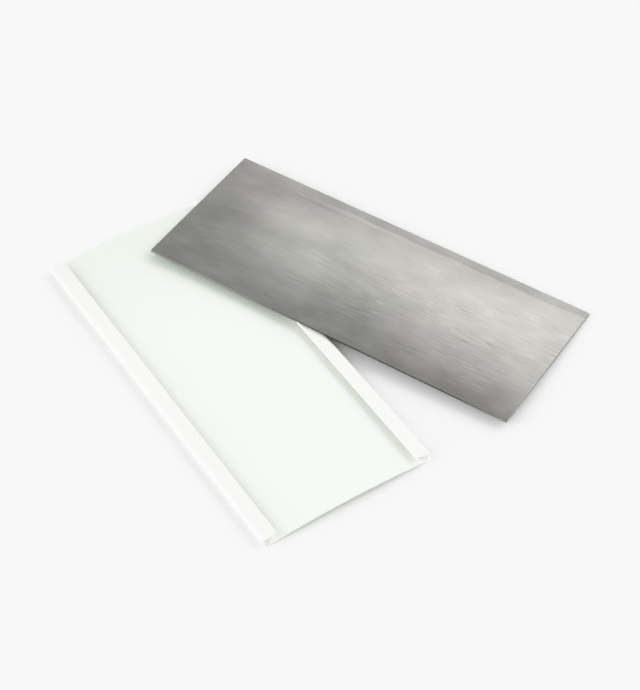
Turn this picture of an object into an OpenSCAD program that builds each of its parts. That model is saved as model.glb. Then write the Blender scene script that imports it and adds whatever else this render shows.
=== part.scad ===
// A card scraper lying across the folded rail of its plastic blade sleeve, as set down on a bench.
// Lengths are in millimetres and angles in degrees. +X points across the sleeve, to the side where
// the plate hangs over, +Y runs along the sleeve and +Z is up. The origin is on the bench, at the
// middle of the rectangle that the pair covers.

/* [Scraper plate] */
// Length of the plate
plate_l = 150; // [100:1:200]
// Width of the plate
plate_w = 62; // [45:0.5:80]
// Thickness of the sheet steel
plate_t = 0.8; // [0.4:0.1:1.2]
// Radius left on the four corners
corner_r = 0.3; // [0.2:0.1:3]

/* [Blade sleeve] */
// Thickness of the plastic wall
wall = 0.9; // [0.6:0.1:1.4]
// Room beside each long edge of the plate when it is in the sleeve
side_play = 1.6; // [0.6:0.1:3]
// Room above the plate in the groove of a rail
slot_play = 0.9; // [0.4:0.1:1.6]
// Reach of a rail's lip, from the outer face of the fold to the lip's free edge
lip_reach = 5.7; // [4:0.1:9]
// Rise of the bowed web between the two folds
web_crown = 1.75; // [0.6:0.05:2.4]
// Distance by which the rails stop short of each end of the web
rail_setback = 0.85; // [0.2:0.05:3]
// Depth of the flat under each fold
foot_flat = 0.04; // [0.02:0.01:0.1]

/* [Lying together] */
// Distance from the crest of the lip out to the middle of the plate
plate_out = 31.9; // [24:0.1:44]
// Distance of the plate's middle ahead of the sleeve's middle
plate_ahead = 3.5; // [0:0.1:20]
// Turn of the plate's length away from the sleeve's length
plate_turn = 24.4; // [5:0.1:60]
// Gap between the plate and the lip that carries it
rest_gap = 0.05; // [0.02:0.01:0.2]

/* [Hidden] */
cut = 1;
round_sides = 96;
corner_sides = 32;
arc_sides = 1800;
steel = [0.66, 0.66, 0.64];
white_plastic = [0.95, 0.96, 0.94];

// The sleeve is sized round the plate that slides into it
sleeve_l = plate_l;
sleeve_w = plate_w + 2 * (side_play + wall);
rail_l = sleeve_l - 2 * rail_setback;

// Each rail is the wall turned over in a half ring, with a lip that runs back over the web
fold_r = (plate_t + slot_play) / 2 + wall;
fold_x = sleeve_w / 2 - fold_r;
fold_z = fold_r - foot_flat;

// The web is an arc that meets both folds smoothly, so the rails tilt by its slope there
tilt = 2 * atan(web_crown / fold_x);
web_r = fold_x / sin(tilt) - fold_r;
web_z = fold_z - (web_r + fold_r) * cos(tilt);
wedge = (web_r + wall) / cos(tilt) + cut;

// The lip's free edge is round, and its crest is what carries the plate
edge_r = wall / 2;
root_l = edge_r / 2;
lip_l = (lip_reach - fold_r - edge_r + (fold_r - edge_r) * sin(tilt)) / cos(tilt);
crest_x = fold_x + (fold_r - edge_r) * sin(tilt) - lip_l * cos(tilt);
crest_z = fold_z + (fold_r - edge_r) * cos(tilt) + lip_l * sin(tilt);

// The plate leans over that crest until its lowest corner meets the bench
carry = edge_r + rest_gap;
corner_x = plate_l / 2 - corner_r;
corner_y = plate_w / 2 - corner_r;
low_out = plate_out + corner_x * sin(plate_turn) + corner_y * cos(plate_turn) + corner_r;
lean = asin(crest_z / norm([low_out, carry])) + atan2(carry, low_out);

// The pair is moved so that the origin is at the middle of what it covers
side_lo = -sleeve_w / 2;
side_hi = crest_x + low_out * cos(lean) + (carry + plate_t) * sin(lean);
pair_shift = [-(side_lo + side_hi) / 2, -plate_ahead, 0];

// Rectangle with round corners, centred, with its length along Y
module rounded_outline(length, width, radius) {
    square([width - 2 * radius, length], center = true);
    square([width, length - 2 * radius], center = true);
    for (x = [-1, 1], y = [-1, 1])
        translate([x * (width / 2 - radius), y * (length / 2 - radius)])
            circle(r = radius, $fn = corner_sides);
}

// Bowed sheet between the folds, seen from its end
module web_outline() {
    translate([0, web_z])
        intersection() {
            difference() {
                circle(r = web_r + wall, $fn = arc_sides);
                circle(r = web_r, $fn = arc_sides);
            }
            polygon([[0, 0], wedge * [sin(tilt), cos(tilt)], wedge * [-sin(tilt), cos(tilt)]]);
        }
}

// Fold and lip of the rail on the +X side, seen from their end
module rail_outline() {
    translate([fold_x, fold_z])
        rotate(-tilt) {
            intersection() {
                difference() {
                    circle(r = fold_r, $fn = round_sides);
                    circle(r = fold_r - wall, $fn = round_sides);
                }
                translate([0, -fold_r - cut])
                    square([fold_r + cut, 2 * (fold_r + cut)]);
            }
            translate([-lip_l, fold_r - wall])
                square([lip_l, wall]);
            translate([-lip_l, fold_r - edge_r])
                circle(r = edge_r, $fn = round_sides);
            // the root of the fold, inside the wall, makes it one body with the web
            translate([-edge_r, -fold_r + edge_r / 2])
                square([edge_r + root_l, edge_r]);
        }
}

// Carries an end outline along Y, from -length / 2 to length / 2
module along_sleeve(length) {
    rotate([90, 0, 0])
        linear_extrude(height = length, center = true)
            children();
}

// One extruded channel: bowed web, two folds, two lips and the flats that it stands on
module blade_sleeve() {
    color(white_plastic)
        translate(pair_shift)
            difference() {
                union() {
                    along_sleeve(sleeve_l)
                        web_outline();
                    for (side = [0, 1])
                        mirror([side, 0, 0])
                            along_sleeve(rail_l)
                                rail_outline();
                }
                translate([-sleeve_w / 2 - cut, -sleeve_l / 2 - cut, -foot_flat - cut])
                    cube([sleeve_w + 2 * cut, sleeve_l + 2 * cut, foot_flat + cut]);
            }
}

// Plain steel plate, laid over the crest of the +X lip with one corner down on the bench
module scraper_plate() {
    color(steel)
        translate(pair_shift + [crest_x, plate_ahead, crest_z])
            rotate([0, lean, 0])
                translate([plate_out, 0, carry])
                    rotate([0, 0, plate_turn])
                        linear_extrude(height = plate_t)
                            rounded_outline(plate_l, plate_w, corner_r);
}

scraper_plate();
blade_sleeve();
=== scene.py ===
"""A card scraper lying across its blade sleeve, dressed for a picture on a plain pale table.

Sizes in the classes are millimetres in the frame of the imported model: +X across the sleeve, +Y
along it and +Z up. Every mesh is written in metres, in place, with its object at the origin.
"""
import logging
import math
from dataclasses import dataclass, field
from enum import Enum
from typing import Protocol

import bmesh
import bpy
import numpy as np
from mathutils import Matrix, Vector


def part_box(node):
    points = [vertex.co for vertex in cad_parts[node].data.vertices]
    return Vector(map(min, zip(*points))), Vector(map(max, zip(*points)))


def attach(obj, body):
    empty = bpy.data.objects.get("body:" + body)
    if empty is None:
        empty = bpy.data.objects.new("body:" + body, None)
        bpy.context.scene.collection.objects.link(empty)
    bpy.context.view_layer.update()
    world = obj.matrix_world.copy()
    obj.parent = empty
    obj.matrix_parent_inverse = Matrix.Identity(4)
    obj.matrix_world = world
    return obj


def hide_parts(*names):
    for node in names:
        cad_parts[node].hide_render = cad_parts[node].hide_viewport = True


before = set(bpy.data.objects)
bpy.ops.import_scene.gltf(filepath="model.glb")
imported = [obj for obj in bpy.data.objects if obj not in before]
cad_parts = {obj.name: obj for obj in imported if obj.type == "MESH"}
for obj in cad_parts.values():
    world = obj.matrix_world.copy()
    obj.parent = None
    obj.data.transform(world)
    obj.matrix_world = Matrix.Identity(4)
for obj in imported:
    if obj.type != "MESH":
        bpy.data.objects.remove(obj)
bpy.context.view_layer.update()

Array = np.ndarray

MM = 0.001
# numbers of the Mix node's two colour inputs and of its colour output
FIRST_COLOUR, SECOND_COLOUR, MIXED_COLOUR = 6, 7, 2
log = logging.getLogger("card_scraper")


class Slot(Enum):
    """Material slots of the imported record."""

    STEEL = "scraper_steel"
    PLASTIC = "sleeve_plastic"


class Body(Enum):
    """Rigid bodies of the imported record."""

    SCRAPER = "scraper"
    SLEEVE = "sleeve"


def linear(hex_colour: str) -> tuple[float, float, float, float]:
    """Turns an sRGB hex colour into linear red, green, blue and an alpha of 1.

    Args:
        hex_colour: six hex digits after a hash sign.

    Returns:
        The colour as Blender's sockets take it.
    """
    channels = [int(hex_colour[i:i + 2], 16) / 255 for i in (1, 3, 5)]
    return (*(c / 12.92 if c <= 0.04045 else ((c + 0.055) / 1.055) ** 2.4 for c in channels), 1.0)


def add_node(
    tree: bpy.types.NodeTree,
    kind: str,
    inputs: dict[str | int, object] | tuple[object, ...] = (),
    output: str | int = 0,
    **settings: object,
) -> bpy.types.NodeSocket | None:
    """Adds one node with its settings, its values and its links.

    Args:
        tree: the node tree that gets the node.
        kind: Blender's name of the node type, without the ShaderNode that they all start with.
        inputs: input sockets, by name or number or else in order, each with a value or with the
            output that feeds it.
        output: name or number of the output that is wanted.
        settings: properties of the node and their values.

    Returns:
        The wanted output, or None for a node without outputs.
    """
    node = tree.nodes.new("ShaderNode" + kind)
    for name, value in settings.items():
        setattr(node, name, value)
    for name, value in inputs.items() if isinstance(inputs, dict) else enumerate(inputs):
        if isinstance(value, bpy.types.NodeSocket):
            tree.links.new(value, node.inputs[name])
        else:
            node.inputs[name].default_value = value
    return node.outputs[output] if len(node.outputs) else None


def fresh_tree(owner: bpy.types.Material | bpy.types.World) -> bpy.types.NodeTree:
    """Gives a material or a world an empty node tree.

    Args:
        owner: the material or the world.

    Returns:
        Its node tree.
    """
    owner.use_nodes = True
    owner.node_tree.nodes.clear()
    return owner.node_tree


class Pattern(Protocol):
    """Anything drawn with nodes that gives a number at each place."""

    def add(self, tree: bpy.types.NodeTree, place: bpy.types.NodeSocket) -> bpy.types.NodeSocket:
        """Adds the pattern's nodes and returns the output with its number."""


def summed(
    tree: bpy.types.NodeTree,
    start: object,
    patterns: tuple[Pattern, ...],
    place: bpy.types.NodeSocket,
) -> object:
    """Adds to a value what each of several patterns gives.

    Args:
        tree: the node tree.
        start: the value, or the output that gives it.
        patterns: the patterns.
        place: output with the place or direction that they read.

    Returns:
        The output with the sum.
    """
    for pattern in patterns:
        start = add_node(tree, "Math", (start, pattern.add(tree, place)), operation="ADD")
    return start


def layered(
    tree: bpy.types.NodeTree, start: object, layers: tuple[tuple[object, float], ...]
) -> object:
    """Adds to a value each of several layers times its weight.

    Args:
        tree: the node tree.
        start: the value, or the output that gives it.
        layers: for each layer the output that gives it, and its weight.

    Returns:
        The output with the sum.
    """
    for layer, weight in layers:
        start = add_node(tree, "Math", (layer, weight, start), operation="MULTIPLY_ADD")
    return start


def tinted(
    tree: bpy.types.NodeTree, colour: object, tints: tuple[tuple[object, object], ...]
) -> object:
    """Lays tints over a colour, one after the other.

    Args:
        tree: the node tree.
        colour: the colour, or the output that gives it.
        tints: for each tint its share, from 0 for none of it to 1 for it alone, and its colour.

    Returns:
        The output with the colour that results.
    """
    for share, tint in tints:
        colour = add_node(
            tree, "Mix", {0: share, FIRST_COLOUR: colour, SECOND_COLOUR: tint}, MIXED_COLOUR,
            data_type="RGBA")
    return colour


def add_surface(tree: bpy.types.NodeTree, relief: object, inputs: dict[str | int, object]) -> None:
    """Ends a material's nodes with its relief and its shader.

    Args:
        tree: the node tree.
        relief: output with the height of the surface, in millimetres.
        inputs: the shader's other inputs.
    """
    normal = add_node(tree, "Bump", {"Strength": 1.0, "Distance": MM, "Height": relief})
    shader = add_node(tree, "BsdfPrincipled", {"Normal": normal, **inputs})
    add_node(tree, "OutputMaterial", {"Surface": shader})


@dataclass(frozen=True)
class Streaks:
    """Uneven marks of one size all over a surface: noise stretched along the place's three axes.

    size is the size of one mark along each axis, in millimetres. low and high are the noise levels
    that give 0 and 1, detail is the number of finer octaves, and seed shifts the pattern, so that
    two patterns of one size differ.
    """

    size: tuple[float, float, float]
    low: float
    high: float
    detail: float = 2.0
    seed: float = 0.0

    def add(self, tree: bpy.types.NodeTree, place: bpy.types.NodeSocket) -> bpy.types.NodeSocket:
        """Adds the pattern: noise at the place over the size, as a smooth step from low to high.

        Args:
            tree: the node tree.
            place: output with the point's place, in millimetres.

        Returns:
            The output with the pattern, from 0 to 1.
        """
        stretched = add_node(tree, "Mapping", {
            "Vector": place, "Location": (self.seed, self.seed / 2, 0),
            "Scale": [1 / length for length in self.size]}, vector_type="POINT")
        noise = add_node(tree, "TexNoise", {
            "Vector": stretched, "Scale": 1.0, "Detail": self.detail, "Roughness": 0.5})
        return add_node(tree, "MapRange", {
            "Value": noise, "From Min": self.low, "From Max": self.high},
            interpolation_type="SMOOTHSTEP")


@dataclass(frozen=True)
class SoftPatch:
    """A soft-edged patch: real wear and tint in some uses, painted reflection in others.

    along and across give its middle, and length and width reach from there to where it is gone,
    all in millimetres of the place's first two axes. change is what it adds at its middle.
    """

    along: float
    across: float
    length: float
    width: float
    change: float

    def add(self, tree: bpy.types.NodeTree, place: bpy.types.NodeSocket) -> bpy.types.NodeSocket:
        """Adds the patch: its change times a smooth step of the distance from its middle.

        Args:
            tree: the node tree.
            place: output with the point's place, in millimetres.

        Returns:
            The output with what the patch adds.
        """
        centred = add_node(tree, "Mapping", {
            "Vector": place, "Location": (-self.along / self.length, -self.across / self.width, 0),
            "Scale": (1 / self.length, 1 / self.width, 0)}, vector_type="POINT")
        distance = add_node(tree, "VectorMath", (centred,), "Value", operation="LENGTH")
        return add_node(tree, "MapRange", {
            "Value": distance, "From Min": 1, "From Max": 0, "To Max": self.change},
            interpolation_type="SMOOTHSTEP")


@dataclass(frozen=True)
class MilledSteel:
    """Hardened carbon steel sheet, cold rolled and then milled along its length.

    The eye sees a warm grey mirror gone soft, greener towards the corner that is held: cloudy
    patches, fine lines and short bright and dark scores along the sheet, a greener, duller band
    along the far long edge with a bright line beside it, and dark grey sawn sides. Broad patches of
    the faces' brightness are partly the sheet's own mottling and partly painted reflection of the
    room. The sides' dark grey is partly their rougher cut and partly painted shade, and painted
    reflections of the bright sleeve and table lighten them in places. Real milling lines and scores
    are a few hundredths of a millimetre wide, and they are drawn ten times as coarse, which is what
    it takes to show them.

    Widths and depths are in millimetres. The changes of band, clouds, lines and scores are shares
    of the sheet's brightness. unworn is the strength of lines and scores all over the sheet, and
    worn adds to it. The band has faded out at band_gone and is whole from band_whole, along the
    sheet. The colour of the sides begins at side_from below the face and is whole at side_whole.
    """

    mark: str = "sheet_mm"
    warm_grey: str = "#A4A29E"
    green_grey: str = "#A2A19D"
    handled_grey: str = "#A0A29C"
    # dark grey of the sawn sides: partly their rougher cut, partly painted shade
    side_grey: str = "#5E5E5A"
    roughness: float = 0.2
    line_roughness: float = 0.03
    band_roughness: float = 0.25
    side_roughness: float = 0.5
    band_width: float = 3.8
    band_blur: float = 0.25
    band_gone: float = 60.0
    band_whole: float = 10.0
    side_from: float = 0.02
    side_whole: float = 0.06
    sway_width: float = 0.7
    line_depth: float = 0.0004
    band_change: float = -0.13
    cloud_change: float = 0.17
    line_change: float = 0.16
    score_change: float = 0.23
    unworn: float = 0.35
    sway: Streaks = Streaks(size=(16, 5, 9), low=0.3, high=0.7, detail=1, seed=3)
    clouds: Streaks = Streaks(size=(14, 8, 9), low=0.25, high=0.75, detail=5)
    warmth: Streaks = Streaks(size=(30, 16, 9), low=0.4, high=0.6, seed=5)
    lines: Streaks = Streaks(size=(14, 0.6, 5), low=0.25, high=0.75)
    bright_scores: Streaks = Streaks(size=(7, 0.35, 5), low=0.62, high=0.7, detail=0, seed=31)
    dark_scores: Streaks = Streaks(size=(7, 0.35, 5), low=0.62, high=0.7, detail=0, seed=77)
    scored_areas: Streaks = Streaks(size=(16, 8, 9), low=0.4, high=0.62, detail=1, seed=12)
    handled: SoftPatch = SoftPatch(along=36, across=-20, length=80, width=46, change=0.8)
    worn: tuple[SoftPatch, ...] = (
        SoftPatch(along=-55, across=0, length=60, width=34, change=1),
        SoftPatch(along=5, across=-4, length=40, width=26, change=0.7),
    )
    # brightness patches: partly the sheet's own mottling, partly painted reflection of the room
    mottle_and_reflections: tuple[SoftPatch, ...] = (
        SoftPatch(along=41, across=2, length=27, width=24, change=0.36),
        SoftPatch(along=-44, across=9, length=132, width=40, change=0.36),
        SoftPatch(along=-66, across=-28, length=118, width=15, change=-0.32),
        SoftPatch(along=26, across=14, length=64, width=13, change=0.18),
        SoftPatch(along=-39, across=27, length=52, width=9, change=-0.15),
        SoftPatch(along=50, across=2, length=31, width=11, change=-0.22),
        SoftPatch(along=-3, across=-17, length=52, width=19, change=-0.17),
        SoftPatch(along=22, across=-9, length=20, width=21, change=0.26),
        SoftPatch(along=-56, across=-10, length=27, width=18, change=-0.15),
        SoftPatch(along=-73, across=7, length=12, width=17, change=-0.12),
    )
    edge_lines: tuple[SoftPatch, ...] = (
        SoftPatch(along=15, across=26.2, length=48, width=1.4, change=0.1),
        SoftPatch(along=35, across=24.6, length=34, width=1.5, change=-0.1),
        SoftPatch(along=45, across=28.2, length=22, width=1.3, change=0.07),
    )
    # painted reflection: the sides lighten where they would mirror the bright sleeve and table
    side_reflections: tuple[SoftPatch, ...] = (
        SoftPatch(along=55, across=-31, length=62, width=60, change=2.2),
        SoftPatch(along=-75, across=-31, length=22, width=34, change=1.6),
    )

    def material(self, half_width: float, thickness: float) -> bpy.types.Material:
        """Builds the node material.

        Args:
            half_width: half the width of the sheet, in millimetres.
            thickness: its thickness, in millimetres.

        Returns:
            The material.
        """
        finish = bpy.data.materials.new("milled_carbon_steel")
        tree = fresh_tree(finish)
        place = add_node(tree, "Attribute", output="Vector", attribute_name=self.mark)
        along, across, height = add_node(tree, "SeparateXYZ", (place,)).node.outputs

        # the filed band along the far edge, which wanders a little from straight
        sway = layered(tree, -self.sway_width / 2, ((self.sway.add(tree, place), self.sway_width),))
        across = add_node(tree, "Math", (across, sway), operation="ADD")
        swayed = add_node(tree, "CombineXYZ", (along, across, height))
        inset = add_node(tree, "Math", (half_width, across), operation="SUBTRACT")
        band = add_node(tree, "MapRange", {
            "Value": inset, "From Min": self.band_width + self.band_blur,
            "From Max": self.band_width - self.band_blur}, interpolation_type="SMOOTHSTEP")
        faded = add_node(tree, "MapRange", {
            "Value": along, "From Min": self.band_gone, "From Max": self.band_whole},
            interpolation_type="SMOOTHSTEP")
        band = add_node(tree, "Math", (band, faded), operation="MULTIPLY")

        # the sides, where the sheet was cut
        depth = add_node(tree, "Math", (height, thickness / 2), operation="SUBTRACT")
        depth = add_node(tree, "Math", (depth,), operation="ABSOLUTE")
        side = add_node(tree, "MapRange", {
            "Value": depth, "From Min": thickness / 2 - self.side_from,
            "From Max": thickness / 2 - self.side_whole}, interpolation_type="SMOOTHSTEP")

        # lines go as far above the sheet's own brightness as below it, and so do scores
        wear = summed(tree, self.unworn, self.worn, place)
        lines = add_node(tree, "Math", (self.lines.add(tree, place), 0.5), operation="SUBTRACT")
        lines = add_node(tree, "Math", (lines, wear), operation="MULTIPLY")
        bright, dark = self.bright_scores.add(tree, place), self.dark_scores.add(tree, place)
        scores = add_node(tree, "Math", (bright, dark), operation="SUBTRACT")
        scores = add_node(tree, "Math", (scores, wear), operation="MULTIPLY")
        areas = self.scored_areas.add(tree, place)
        scores = add_node(tree, "Math", (scores, areas), operation="MULTIPLY")

        # brightness of the faces and of the sides, with painted reflection in both
        shade = layered(tree, 1 - self.cloud_change / 2, (
            (self.clouds.add(tree, place), self.cloud_change), (lines, self.line_change),
            (scores, self.score_change), (band, self.band_change)))
        # painted reflection: these patches brighten and darken the faces as the room's reflection
        # would
        shade = summed(tree, shade, self.mottle_and_reflections, place)
        shade = summed(tree, shade, self.edge_lines, swayed)
        # painted reflection on the sides, over their partly painted dark grey
        side_shade = summed(tree, 1.0, self.side_reflections, place)

        warmth = add_node(tree, "Math", (self.warmth.add(tree, place), band), operation="SUBTRACT")
        faces = tinted(tree, linear(self.green_grey), (
            (warmth, linear(self.warm_grey)),
            (self.handled.add(tree, place), linear(self.handled_grey))))
        faces = add_node(tree, "VectorMath", {0: faces, "Scale": shade}, operation="SCALE")
        sides = add_node(tree, "VectorMath", {
            0: linear(self.side_grey)[:3], "Scale": side_shade}, operation="SCALE")
        colour = tinted(tree, faces, ((side, sides),))
        rough = layered(tree, self.roughness, (
            (lines, self.line_roughness), (band, self.band_roughness - self.roughness),
            (side, self.side_roughness - self.roughness)))
        relief = layered(tree, 0.0, ((lines, self.line_depth),))
        add_surface(tree, relief, {"Base Color": colour, "Metallic": 1.0, "Roughness": rough})
        return finish


@dataclass(frozen=True)
class ExtrudedPlastic:
    """Rigid white vinyl, drawn through a die in one long strip and sawn to length.

    The eye sees a faintly green white with a soft gloss, warmer and less green on the rails, fine
    lines that run with the strip, and duller faces where the saw has passed. The rails' white is
    partly their own colour and partly a painted shade tint, which keeps the shade under and beside
    the lips a neutral grey. Die lines and saw marks are drawn ten times as coarse as real ones, so
    that they show.

    Depths are in millimetres. The colour starts to change at rail_tint_from and has changed at
    rail_tint_to, measured round the strip from its middle. The patterns' first two axes are that
    distance and the place along the strip.
    """

    mark: str = "strip_mm"
    white: str = "#F3FBF0"
    rail_white: str = "#F7FAF4"
    cut_white: str = "#F4F6F1"
    ior: float = 1.5
    roughness: float = 0.38
    haze_roughness: float = 0.05
    cut_roughness: float = 0.6
    line_depth: float = 0.0004
    saw_depth: float = 0.01
    rail_tint_from: float = 19.0
    rail_tint_to: float = 29.0
    lines: Streaks = Streaks(size=(0.9, 160, 5), low=0.3, high=0.7)
    haze: Streaks = Streaks(size=(14, 30, 9), low=0.35, high=0.65)
    saw_marks: Streaks = Streaks(size=(0.35, 0.2, 5), low=0.3, high=0.7)
    # darkens the strip towards its back end
    back_darkening: SoftPatch = SoftPatch(along=-8, across=100, length=90, width=85, change=-0.12)

    def material(self) -> bpy.types.Material:
        """Builds the node material.

        Returns:
            The material.
        """
        finish = bpy.data.materials.new("extruded_white_vinyl")
        tree = fresh_tree(finish)
        place = add_node(tree, "Attribute", output="Vector", attribute_name=self.mark)
        round_strip, _, cut = add_node(tree, "SeparateXYZ", (place,)).node.outputs
        round_strip = add_node(tree, "Math", (round_strip,), operation="ABSOLUTE")
        # painted shade tint: a warmer, less green white on the rails and beside them, partly their
        # own colour
        rail_tint = add_node(tree, "MapRange", {
            "Value": round_strip, "From Min": self.rail_tint_from, "From Max": self.rail_tint_to},
            interpolation_type="SMOOTHSTEP")
        colour = tinted(tree, linear(self.white), (
            (rail_tint, linear(self.rail_white)), (cut, linear(self.cut_white))))
        # the sleeve is painted darker towards its back end
        darkening = summed(tree, 1.0, (self.back_darkening,), place)
        colour = add_node(tree, "VectorMath", {0: colour, "Scale": darkening}, operation="SCALE")
        rough = layered(tree, self.roughness, (
            (cut, self.cut_roughness - self.roughness),
            (self.haze.add(tree, place), self.haze_roughness)))
        sawn = add_node(tree, "Math", (self.saw_marks.add(tree, place), cut), operation="MULTIPLY")
        relief = layered(tree, 0.0, (
            (self.lines.add(tree, place), self.line_depth), (sawn, self.saw_depth)))
        add_surface(tree, relief, {"Base Color": colour, "Roughness": rough, "IOR": self.ior})
        return finish


@dataclass(frozen=True)
class MattePaper:
    """Pale paper under the pair, which gives the eye an even white with soft shadows."""

    white: str = "#F7F7F7"

    def material(self) -> bpy.types.Material:
        """Builds the material.

        Returns:
            The material.
        """
        finish = bpy.data.materials.new("matte_white_paper")
        tree = fresh_tree(finish)
        shader = add_node(tree, "BsdfDiffuse", {"Color": linear(self.white)})
        add_node(tree, "OutputMaterial", {"Surface": shader})
        return finish


class Skin:
    """Collects grids of points, with a mark on each point, and welds them into one closed mesh.

    Points that agree to WELD, in millimetres, are one point.
    """

    WELD = 1e-4

    def __init__(self) -> None:
        """Starts with no points and no faces."""
        self.points: list[Array] = []
        self.marks: list[Array] = []
        self.quads: list[Array] = []
        self.count = 0

    def add(self, points: Array, marks: Array) -> None:
        """Adds one grid.

        Args:
            points: places, rows by columns by 3, in millimetres.
            marks: the value that each point carries, in the same layout.
        """
        rows, columns = points.shape[:2]
        number = self.count + np.arange(rows * columns).reshape(rows, columns)
        corners = (number[:-1, :-1], number[1:, :-1], number[1:, 1:], number[:-1, 1:])
        self.quads.append(np.stack(corners, -1).reshape(-1, 4))
        self.points.append(points.reshape(-1, 3))
        self.marks.append(np.broadcast_to(marks, points.shape).reshape(-1, 3))
        self.count += rows * columns

    def welded(self) -> tuple[Array, Array, Array, Array]:
        """Joins points that share a place, and drops the corners and faces that this flattens.

        Returns:
            The points, their marks, the number of the point at each corner, face by face, and the
            number of corners of each face.
        """
        points, marks, quads = map(np.concatenate, (self.points, self.marks, self.quads))
        keys = np.round(points / self.WELD).astype(np.int64)
        _, first, number = np.unique(keys, axis=0, return_index=True, return_inverse=True)
        quads = number.reshape(-1)[quads]
        distinct = quads != np.roll(quads, 1, axis=1)
        whole = distinct.sum(1) > 2
        quads, distinct = quads[whole], distinct[whole]
        return points[first], marks[first], quads[distinct], distinct.sum(1)

    def mesh(self, name: str, mark_name: str) -> bpy.types.Mesh:
        """Makes the welded grids a mesh, smooth and with its faces turned outwards.

        Args:
            name: name of the mesh.
            mark_name: name of the attribute that carries the marks.

        Returns:
            The finished mesh, in metres.
        """
        points, marks, corners, totals = self.welded()
        mesh = bpy.data.meshes.new(name)
        mesh.vertices.add(len(points))
        mesh.vertices.foreach_set("co", (points * MM).astype(np.float32).ravel())
        mesh.loops.add(len(corners))
        mesh.loops.foreach_set("vertex_index", corners.astype(np.int32))
        mesh.polygons.add(len(totals))
        mesh.polygons.foreach_set("loop_start", (np.cumsum(totals) - totals).astype(np.int32))
        mesh.update(calc_edges=True)
        mark = mesh.attributes.new(mark_name, "FLOAT_VECTOR", "POINT")
        mark.data.foreach_set("vector", marks.astype(np.float32).ravel())
        shell = bmesh.new()
        shell.from_mesh(mesh)
        bmesh.ops.recalc_face_normals(shell, faces=shell.faces)
        shell.to_mesh(mesh)
        shell.free()
        mesh.polygons.foreach_set("use_smooth", np.ones(len(mesh.polygons), bool))
        mesh.validate()
        mesh.update()
        return mesh


def quarter(steps: int) -> Array:
    """Angles from 0 to a right angle, in equal steps."""
    return np.linspace(0, math.pi / 2, steps + 1)


def path_length(points: Array) -> Array:
    """Distance of each point of a path from its start: the sum of the steps before it."""
    return np.concatenate([[0], np.cumsum(np.linalg.norm(np.diff(points, axis=0), axis=1))])


def place_piece(
    name: str, mesh: bpy.types.Mesh, material: bpy.types.Material, body: Body, node: str
) -> bpy.types.Object:
    """Puts a finished mesh into the scene in place of its CAD node.

    Args:
        name: name of the piece.
        mesh: its mesh, already in the row frame.
        material: its finish.
        body: the rigid body that it rides on.
        node: the CAD node that it stands for.

    Returns:
        The new object.
    """
    mesh.materials.append(material)
    piece = bpy.data.objects.new(name, mesh)
    bpy.context.scene.collection.objects.link(piece)
    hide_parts(node)
    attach(piece, body.value)
    return piece


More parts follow.
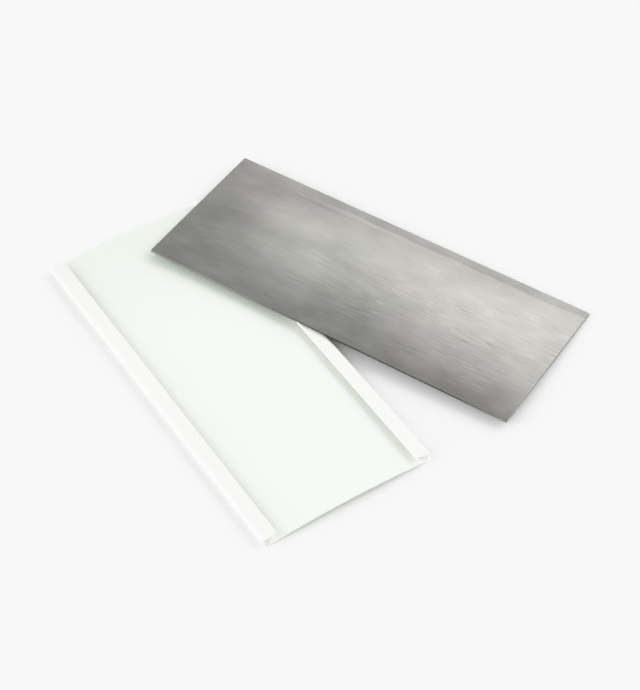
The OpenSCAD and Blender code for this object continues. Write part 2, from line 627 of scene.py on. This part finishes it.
@dataclass
class ScraperPlate:
    """The scraper: one rectangle of sheet steel, placed from its CAD node.

    length, width, thickness, origin and axes come from the node. origin is the middle of the lower
    face, and the rows of axes point along the plate, across it to its far edge, and up. corner and
    arris are radii, of the corners seen from above and of the edges all round. The faces fall away
    by roll_off over the margin along the long edges. support is how far from an arris the next row
    of points stands.
    """

    length: float
    width: float
    thickness: float
    origin: Array
    axes: Array
    corner: float = 0.3
    arris: float = 0.07
    margin: float = 4.0
    roll_off: float = 0.02
    support: float = 0.05
    finish: MilledSteel = MilledSteel()

    NODE = "scraper_plate"
    DECIMALS = 4
    ARRIS_STEPS = 4
    CORNER_STEPS = 6
    MARGIN_POINTS = 8
    FACE_POINTS = 12

    @classmethod
    def from_frame(cls) -> "ScraperPlate":
        """Measures the CAD node, whose main directions are those in which its points spread most.

        Returns:
            The plate with the node's sizes and place.
        """
        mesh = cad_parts[cls.NODE].data
        points = np.empty(len(mesh.vertices) * 3, np.float32)
        mesh.vertices.foreach_get("co", points)
        points = np.unique(np.round(points.reshape(-1, 3).astype(float) / MM, cls.DECIMALS), axis=0)
        centre = (points.max(0) + points.min(0)) / 2
        axes = np.linalg.svd(points - points.mean(0), full_matrices=False)[2]
        axes = axes * np.sign([[axes[0, 1]], [axes[1, 0]], [axes[2, 2]]])
        spread = (points - centre) @ axes.T
        low, high = spread.min(0), spread.max(0)
        origin = centre + np.array([(low[0] + high[0]) / 2, (low[1] + high[1]) / 2, low[2]]) @ axes
        return cls(*(high - low), origin, axes)

    def end_line(self, across: Array) -> Array:
        """Distance of the plate's end from its middle, where a circle rounds off each corner."""
        past = np.clip(np.abs(across) - (self.width / 2 - self.corner), 0, self.corner)
        return self.length / 2 - self.corner + np.sqrt(self.corner ** 2 - past ** 2)

    def half_section(self) -> tuple[Array, Array]:
        """Upper half of the section across the plate.

        The face falls away towards each long edge as the square of the distance into the margin, a
        quarter circle turns it into the side, and the side runs down to half the thickness.

        Returns:
            Points (across, height above the middle) and the unit directions that point inwards.
        """
        turn = quarter(self.ARRIS_STEPS)
        half, flank = self.width / 2, self.thickness / 2
        insets = np.unique(np.concatenate([
            [self.support], self.corner * (1 - np.sin(quarter(self.CORNER_STEPS)[::-1])),
            np.linspace(self.corner, self.margin, self.MARGIN_POINTS)[1:]]))
        insets = insets[insets >= self.support]
        middle = np.linspace(half - self.arris - self.margin, 0, self.FACE_POINTS)[1:]
        across = np.concatenate([half - self.arris - insets, middle])
        into = np.clip(1 - (half - across) / self.margin, 0, 1)
        face = np.stack([across, flank - self.roll_off * into ** 2], -1)
        arris = np.stack([
            half - self.arris + self.arris * np.cos(turn),
            flank - self.roll_off - self.arris + self.arris * np.sin(turn)], -1)
        points = np.concatenate([[[half, 0.0]], arris, face])
        inward = np.concatenate([
            [[-1.0, 0.0]], -np.stack([np.cos(turn), np.sin(turn)], -1),
            np.broadcast_to([0.0, -1.0], face.shape)])
        return tuple(np.concatenate([side, side[:-1][::-1] * [-1, 1]]) for side in (points, inward))

    def stations(self) -> tuple[Array, Array, Array]:
        """Steps along the plate, from its middle to one end.

        The steps are even up to the end's arris, one row stands close beside it, and the last ones
        follow its quarter circle.

        Returns:
            For each step the share of the way to the end, the length short of the end, and the
            distance by which the section has shrunk inwards.
        """
        turn = quarter(self.ARRIS_STEPS)
        even = np.linspace(0, 1, self.FACE_POINTS)
        share = np.concatenate([even, np.ones(1 + len(turn))])
        short = np.concatenate([
            np.full(len(even), self.arris + self.support), [self.arris + self.support / 4],
            self.arris * (1 - np.sin(turn))])
        shrunk = np.concatenate([np.zeros(len(even) + 1), self.arris * (1 - np.cos(turn))])
        return share, short, shrunk

    def placed(self, local: Array) -> Array:
        """Turns places (along, across, height above the lower face) into the row frame."""
        return self.origin + local @ self.axes

    def build(self) -> bpy.types.Mesh:
        """Carries the section along the plate to both ends and closes each end with a strip.

        Returns:
            The closed mesh.
        """
        section, inward = self.half_section()
        share, short, shrunk = self.stations()
        points = section[:, None] + inward[:, None] * shrunk[None, :, None]
        along = share * (self.end_line(points[..., 0]) - short)
        skin = Skin()
        for end in (1, -1):
            for face in (1, -1):
                sheet = np.stack([
                    end * along, points[..., 0], self.thickness / 2 + face * points[..., 1]], -1)
                skin.add(self.placed(sheet), sheet)
            cap = np.stack([sheet[:, -1], sheet[:, -1] * [1, 1, -1] + [0, 0, self.thickness]], 1)
            skin.add(self.placed(cap), cap)
        return skin.mesh("scraper_sheet", self.finish.mark)

    def make(self) -> bpy.types.Object:
        """Builds and dresses the plate.

        Returns:
            The plate's object.
        """
        mesh, material = self.build(), self.finish.material(self.width / 2, self.thickness)
        return place_piece("scraper_sheet", mesh, material, Body.SCRAPER, self.NODE)


@dataclass
class BladeSleeve:
    """The sleeve: a bowed web with a folded rail and a lip on each side, drawn as one strip.

    centre, length and width come from the CAD node, and the wall, fold and lip repeat its sizes.
    tip_r rounds the lips' free edges, rim rounds the sawn ends, and support is how far from a rim
    the next row of points stands. The fields without a value in the call are worked out from the
    rest: fold and fold_r are the middle and the radius of the right fold, tilt is the web's slope
    beside it, web_z and web_r are the height of the web's centre and the radius of its underside,
    edge_r is half the wall, and lip is the length of the lip's flat part.
    """

    centre: Array
    length: float
    width: float
    wall: float = 0.9
    groove: float = 1.7
    lip_reach: float = 5.7
    web_crown: float = 1.75
    foot_flat: float = 0.04
    setback: float = 0.85
    tip_r: float = 0.15
    rim: float = 0.1
    support: float = 0.08
    finish: ExtrudedPlastic = ExtrudedPlastic()
    fold_r: float = field(init=False)
    fold: Array = field(init=False)
    tilt: float = field(init=False)
    web_r: float = field(init=False)
    web_z: float = field(init=False)
    edge_r: float = field(init=False)
    lip: float = field(init=False)

    NODE = "blade_sleeve"
    LENGTH_POINTS = 24
    FOLD_POINTS = 41
    LIP_POINTS = 12
    TIP_STEPS = 4
    WEB_POINTS = 61
    RIM_STEPS = 3
    TINY = 1e-9

    @classmethod
    def from_frame(cls) -> "BladeSleeve":
        """Takes the place and the outer sizes from the CAD node.

        Returns:
            The sleeve with the node's sizes and place.
        """
        low, high = (np.array(corner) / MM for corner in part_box(cls.NODE))
        centre = (low + high) / 2
        return cls(np.array([centre[0], centre[1], low[2]]), high[1] - low[1], high[0] - low[0])

    def __post_init__(self) -> None:
        """Works out the fold, the web's arc and the lip from the driving sizes."""
        self.fold_r = self.groove / 2 + self.wall
        self.fold = np.array([self.width / 2 - self.fold_r, self.fold_r - self.foot_flat])
        self.tilt = 2 * math.atan(self.web_crown / self.fold[0])
        self.web_r = self.fold[0] / math.sin(self.tilt) - self.fold_r
        self.web_z = self.fold[1] - (self.web_r + self.fold_r) * math.cos(self.tilt)
        self.edge_r = self.wall / 2
        rise = (self.fold_r - self.edge_r) * math.sin(self.tilt)
        self.lip = (self.lip_reach - self.fold_r - self.edge_r + rise) / math.cos(self.tilt)

    def rail_section(self) -> tuple[Array, Array, Array, Array]:
        """Outer and inner outline of the right rail, from the web out to the lip's free edge.

        Both outlines are half a ring about the fold's centre, then a straight lip, then a quarter
        circle and half of the blunt edge, where they meet. The whole is turned by the web's slope,
        and what would lie under the bench is cut flat.

        Returns:
            Outer points, inner points and the inward directions of each, as (across, height).
        """
        ring = np.linspace(-math.pi / 2, math.pi / 2, self.FOLD_POINTS)
        reach = self.lip + self.edge_r - self.tip_r
        run = np.linspace(0, reach, self.LIP_POINTS)[1:]
        nose = np.append(quarter(self.TIP_STEPS)[1:], math.pi / 2)
        swing = np.stack([np.cos(ring), np.sin(ring)], -1)
        flat = np.broadcast_to([0.0, 1.0], (len(run), 2))
        tip = np.stack([-np.sin(nose), np.cos(nose)], -1)
        middle = self.fold_r - self.edge_r
        lip = np.stack([-run, np.zeros_like(run)], -1)
        upper = np.array([-reach, self.fold_r - self.tip_r]) + self.tip_r * tip
        upper[-1, 1] = middle
        lower = upper * [1, -1] + [0, 2 * middle]
        inner_r = self.fold_r - self.wall
        outer = np.concatenate([self.fold_r * swing, lip + [0, self.fold_r], upper])
        inner = np.concatenate([inner_r * swing, lip + [0, inner_r], lower])
        outer_in = -np.concatenate([swing, flat, tip])
        inner_in = np.concatenate([swing, flat, -tip * [1, -1]])
        turned = np.array([[math.cos(self.tilt), -math.sin(self.tilt)],
                           [math.sin(self.tilt), math.cos(self.tilt)]])
        outer, inner = outer @ turned + self.fold, inner @ turned + self.fold
        outer[:, 1] = np.maximum(outer[:, 1], 0)
        return outer, inner, outer_in @ turned, inner_in @ turned

    def web_section(self) -> tuple[Array, Array, Array]:
        """Top and bottom of the bowed web: two arcs about one centre far below.

        Returns:
            Top points, bottom points and the outward directions, as (across, height).
        """
        angles = np.linspace(-self.tilt, self.tilt, self.WEB_POINTS)
        out = np.stack([np.sin(angles), np.cos(angles)], -1)
        centre = np.array([0, self.web_z])
        bottom = centre + self.web_r * out
        bottom[:, 1] = np.maximum(bottom[:, 1], 0)
        return centre + (self.web_r + self.wall) * out, bottom, out

    def rounded_rim(self, half: float) -> tuple[Array, Array]:
        """The rounded rim at the far end of a run: a quarter circle.

        Args:
            half: half the length of the run.

        Returns:
            For each step its place along the run and how far the outline has shrunk inwards.
        """
        turn = quarter(self.RIM_STEPS)
        return half - self.rim + self.rim * np.sin(turn), self.rim * (1 - np.cos(turn))

    def carried(self, outline: Array, inward: Array, along: Array, shrunk: Array) -> Array:
        """Carries an outline along the sleeve, drawing it in where the rim is rounded.

        Args:
            outline: points as (across, height).
            inward: the unit direction that points inwards from each.
            along: the steps along the sleeve.
            shrunk: how far the outline is drawn in at each step, for all its points or for each.

        Returns:
            The places, points by steps by 3.
        """
        shape = len(outline), along.shape[-1]
        flat = outline[:, None] + inward[:, None] * np.broadcast_to(shrunk, shape)[..., None]
        return np.stack([flat[..., 0], np.broadcast_to(along, shape), flat[..., 1]], -1)

    def add_sheet(self, skin: Skin, points: Array, distance: Array, cut: int) -> None:
        """Adds one grid with its marks: distance round the strip, place along it, and 1 on a cut.

        On a cut the height counts with the place along the strip, so that the saw's marks show.

        Args:
            skin: the mesh that gets the grid.
            points: places relative to the sleeve's centre.
            distance: distance of each row round the strip from its middle.
            cut: 1 on a sawn face, 0 elsewhere.
        """
        shape = points.shape[:2]
        marks = np.stack([
            np.broadcast_to(distance[:, None], shape), points[..., 1] + cut * points[..., 2],
            np.full(shape, cut)], -1)
        skin.add(points + self.centre, marks)

    def add_web(self, skin: Skin) -> None:
        """Adds the web's two faces, its two sawn ends and the short steps beside the rails.

        Args:
            skin: the mesh that gets them.
        """
        top, bottom, out = self.web_section()
        half = self.length / 2
        rail_end = half - self.setback
        inner = rail_end - self.rim - self.support
        edge, drawn_in = self.rounded_rim(half)
        last = np.concatenate([[rail_end, half - self.rim - self.support], edge])
        along = np.concatenate([-last[::-1], np.linspace(-inner, inner, self.LENGTH_POINTS), last])
        shrunk = np.zeros(len(along))
        shrunk[-len(edge):] = drawn_in
        shrunk[:len(edge)] = drawn_in[::-1]
        distance = path_length(top)
        distance = distance - distance[-1] / 2
        sheets = [self.carried(line, way, along, shrunk)
                  for line, way in ((top, -out), (bottom, out))]
        for sheet in sheets:
            self.add_sheet(skin, sheet, distance, 0)
        for end in (0, -1):
            self.add_sheet(skin, np.stack([sheets[0][:, end], sheets[1][:, end]], 1), distance, 1)
        past_rail = np.abs(along) >= rail_end - self.TINY
        for side in (0, -1):
            for end in (along < 0, along > 0):
                step = np.stack([sheet[side, past_rail & end] for sheet in sheets], 1)
                self.add_sheet(skin, step, np.full(len(step), distance[side]), 1)

    def add_rail(self, skin: Skin, side: int) -> None:
        """Adds one rail: its outer and inner faces and its two sawn ends.

        The rounding of the rims fades out, over its own width, towards the line where the rail
        leaves the web, so that the rail's end is flat there.

        Args:
            skin: the mesh that gets them.
            side: 1 for the rail at +X, -1 for its mirror image.
        """
        outer, lining, outer_in, lining_in = self.rail_section()
        half = self.length / 2 - self.setback
        edge, drawn_in = self.rounded_rim(half)
        inner = half - self.rim - self.support
        straight = np.linspace(-inner, inner, self.LENGTH_POINTS)
        along = np.concatenate([-edge[::-1], straight, edge])
        shrunk = np.concatenate([drawn_in[::-1], np.zeros(len(straight)), drawn_in])
        distance = path_length(outer)
        fade = np.clip(distance, 0, self.rim)[:, None] / self.rim
        run_end = np.sign(along) * half
        on_rim = np.abs(along) > half - self.rim - self.TINY
        reach = run_end + (along - run_end) * np.where(on_rim, fade, 1)
        mirror = np.array([side, 1, 1])
        sheets = [self.carried(line, way, reach, shrunk * fade) * mirror
                  for line, way in ((outer, outer_in), (lining, lining_in))]
        distance = side * (distance + self.width / 2)
        for sheet in sheets:
            self.add_sheet(skin, sheet, distance, 0)
        for end in (0, -1):
            self.add_sheet(skin, np.stack([sheets[0][:, end], sheets[1][:, end]], 1), distance, 1)

    def build(self) -> bpy.types.Mesh:
        """Builds the web and both rails as one closed mesh.

        Returns:
            The closed mesh.
        """
        skin = Skin()
        self.add_web(skin)
        for side in (1, -1):
            self.add_rail(skin, side)
        return skin.mesh("sleeve_strip", self.finish.mark)

    def make(self) -> bpy.types.Object:
        """Builds and dresses the sleeve.

        Returns:
            The sleeve's object.
        """
        mesh, material = self.build(), self.finish.material()
        return place_piece("sleeve_strip", mesh, material, Body.SLEEVE, self.NODE)


@dataclass(frozen=True)
class SoftBox:
    """A round softbox, so far off that it lights the whole table alike.

    It is a bright patch of the surroundings with a soft rim. azimuth turns from +Y towards +X,
    elevation rises from the table, half_angle reaches from the patch's middle to its rim and
    softness is half the rim's width, all in degrees. strength is what the patch adds.
    """

    azimuth: float
    elevation: float
    half_angle: float
    softness: float
    strength: float

    def add(self, tree: bpy.types.NodeTree, place: bpy.types.NodeSocket) -> bpy.types.NodeSocket:
        """Adds the patch: its strength times a smooth step of the angle from its middle.

        Args:
            tree: the world's node tree.
            place: output with the place in the surroundings, as a unit vector.

        Returns:
            The output with the brightness.
        """
        turn, rise = math.radians(self.azimuth), math.radians(self.elevation)
        middle = (math.sin(turn) * math.cos(rise), math.cos(turn) * math.cos(rise), math.sin(rise))
        cosine = add_node(tree, "VectorMath", (place, middle), "Value", operation="DOT_PRODUCT")
        angle = add_node(tree, "Math", (cosine,), operation="ARCCOSINE")
        return add_node(tree, "MapRange", {
            "Value": angle, "From Min": math.radians(self.half_angle + self.softness),
            "From Max": math.radians(self.half_angle - self.softness), "To Max": self.strength},
            interpolation_type="SMOOTHSTEP")


@dataclass(frozen=True)
class Studio:
    """The white room round the table: an even dim level with softboxes on all sides."""

    white: str = "#FFFFFF"
    level: float = 0.315
    softboxes: tuple[SoftBox, ...] = (
        SoftBox(azimuth=-91.2, elevation=24.3, half_angle=31.3, softness=2.1, strength=1.49),
        SoftBox(azimuth=127.1, elevation=20.2, half_angle=32.3, softness=7.4, strength=1.16),
        SoftBox(azimuth=-46.3, elevation=13.5, half_angle=33.6, softness=4.4, strength=1.78),
        SoftBox(azimuth=59.9, elevation=19.7, half_angle=29.6, softness=2.8, strength=1.16),
        SoftBox(azimuth=199.8, elevation=40.7, half_angle=11.1, softness=7.1, strength=2.84),
        SoftBox(azimuth=94.8, elevation=29.1, half_angle=19.7, softness=29, strength=1.27),
        SoftBox(azimuth=92.2, elevation=46.5, half_angle=14.6, softness=1.1, strength=1.64),
        SoftBox(azimuth=33, elevation=47.8, half_angle=24.7, softness=9.9, strength=0.2),
    )

    def make(self) -> None:
        """Gives the scene its world, whose brightness is the level plus that of each softbox."""
        world = bpy.data.worlds.new("studio_walls")
        bpy.context.scene.world = world
        tree = fresh_tree(world)
        way = add_node(tree, "TexCoord", output="Generated")
        way = add_node(tree, "VectorMath", (way,), operation="NORMALIZE")
        strength = summed(tree, self.level, self.softboxes, way)
        glow = add_node(tree, "Background", {"Color": linear(self.white), "Strength": strength})
        add_node(tree, "OutputWorld", {"Surface": glow})


@dataclass(frozen=True)
class Table:
    """The flat pale table top that the pair lies on."""

    half_size: float = 12000.0
    finish: MattePaper = MattePaper()

    def make(self) -> bpy.types.Object:
        """Adds the table top at the lowest point of the pair.

        Returns:
            The table top's object.
        """
        span = self.half_size * MM
        mesh = bpy.data.meshes.new("table_top")
        corners = [(-span, -span, 0), (span, -span, 0), (span, span, 0), (-span, span, 0)]
        mesh.from_pydata(corners, [], [(0, 1, 2, 3)])
        mesh.materials.append(self.finish.material())
        table = bpy.data.objects.new("table_top", mesh)
        bpy.context.scene.collection.objects.link(table)
        return table


@dataclass(frozen=True)
class PhotoCamera:
    """A camera placed as the photograph's was.

    focal is in pixels of a picture that is frame_side pixels on its long side. azimuth turns to the
    right from +Y, and elevation and roll are in degrees. near and far are the limits of what it
    sees, in metres.
    """

    focal: float = 1935.56
    frame_side: float = 690.0
    sensor: float = 36.0
    near: float = 0.01
    far: float = 100.0
    azimuth: float = -32.281
    elevation: float = 48.288
    roll: float = -0.953
    distance: float = 690.42
    aim: tuple[float, float, float] = (-12.539, -14.042, 0.0)

    def make(self) -> bpy.types.Object:
        """Adds the camera and makes it the scene's.

        Returns:
            The camera's object.
        """
        turn, rise = math.radians(self.azimuth), math.radians(self.elevation)
        back = Vector((
            math.sin(turn) * math.cos(rise), -math.cos(turn) * math.cos(rise), math.sin(rise)))
        data = bpy.data.cameras.new("photo_camera")
        data.sensor_width = self.sensor
        data.lens = self.sensor * self.focal / self.frame_side
        data.clip_start, data.clip_end = self.near, self.far
        camera = bpy.data.objects.new("photo_camera", data)
        bpy.context.scene.collection.objects.link(camera)
        place = Matrix.Translation((Vector(self.aim) + back * self.distance) * MM)
        facing = back.to_track_quat("Z", "Y").to_matrix().to_4x4()
        camera.matrix_world = place @ facing @ Matrix.Rotation(math.radians(self.roll), 4, "Z")
        bpy.context.scene.camera = camera
        return camera


@dataclass(frozen=True)
class Shoulder:
    """The camera's soft shoulder, which keeps shade visible on surfaces that are nearly white.

    Linear brightness up to start is shown as it is. Above it the steps get smaller, as a parabola,
    until nothing shows brighter than top, which is reached at 2 * top - start.
    """

    start: float = 0.75
    top: float = 0.964
    steps: int = 12

    ALL_CHANNELS = 3

    def apply(self) -> None:
        """Has the picture show sRGB colours through the shoulder, with no other film curve."""
        view = bpy.context.scene.view_settings
        view.view_transform, view.look = "Standard", "None"
        view.exposure, view.gamma = 0.0, 1.0
        view.use_curve_mapping = True
        mapping = view.curve_mapping
        full = 2 * self.top - self.start
        mapping.white_level = (full, full, full)
        mapping.use_clip = False
        curve = mapping.curves[self.ALL_CHANNELS]
        for share in np.linspace(0, 1, self.steps + 1)[:-1]:
            shown = self.start + (self.top - self.start) * (1 - (1 - share) ** 2)
            curve.points.new((self.start + share * (full - self.start)) / full, shown)
        curve.points[-1].location = (1, self.top)
        for point in curve.points:
            point.handle_type = "VECTOR"
        mapping.update()


def main() -> None:
    """Builds the stage and both pieces in order and reports each through the log."""
    logging.basicConfig(level=logging.INFO, format="%(message)s")
    Shoulder().apply()
    PhotoCamera().make()
    Table().make()
    Studio().make()
    for piece in (ScraperPlate.from_frame().make(), BladeSleeve.from_frame().make()):
        log.info("%s: %d faces", piece.name, len(piece.data.polygons))


if __name__ == "__main__":
    main()
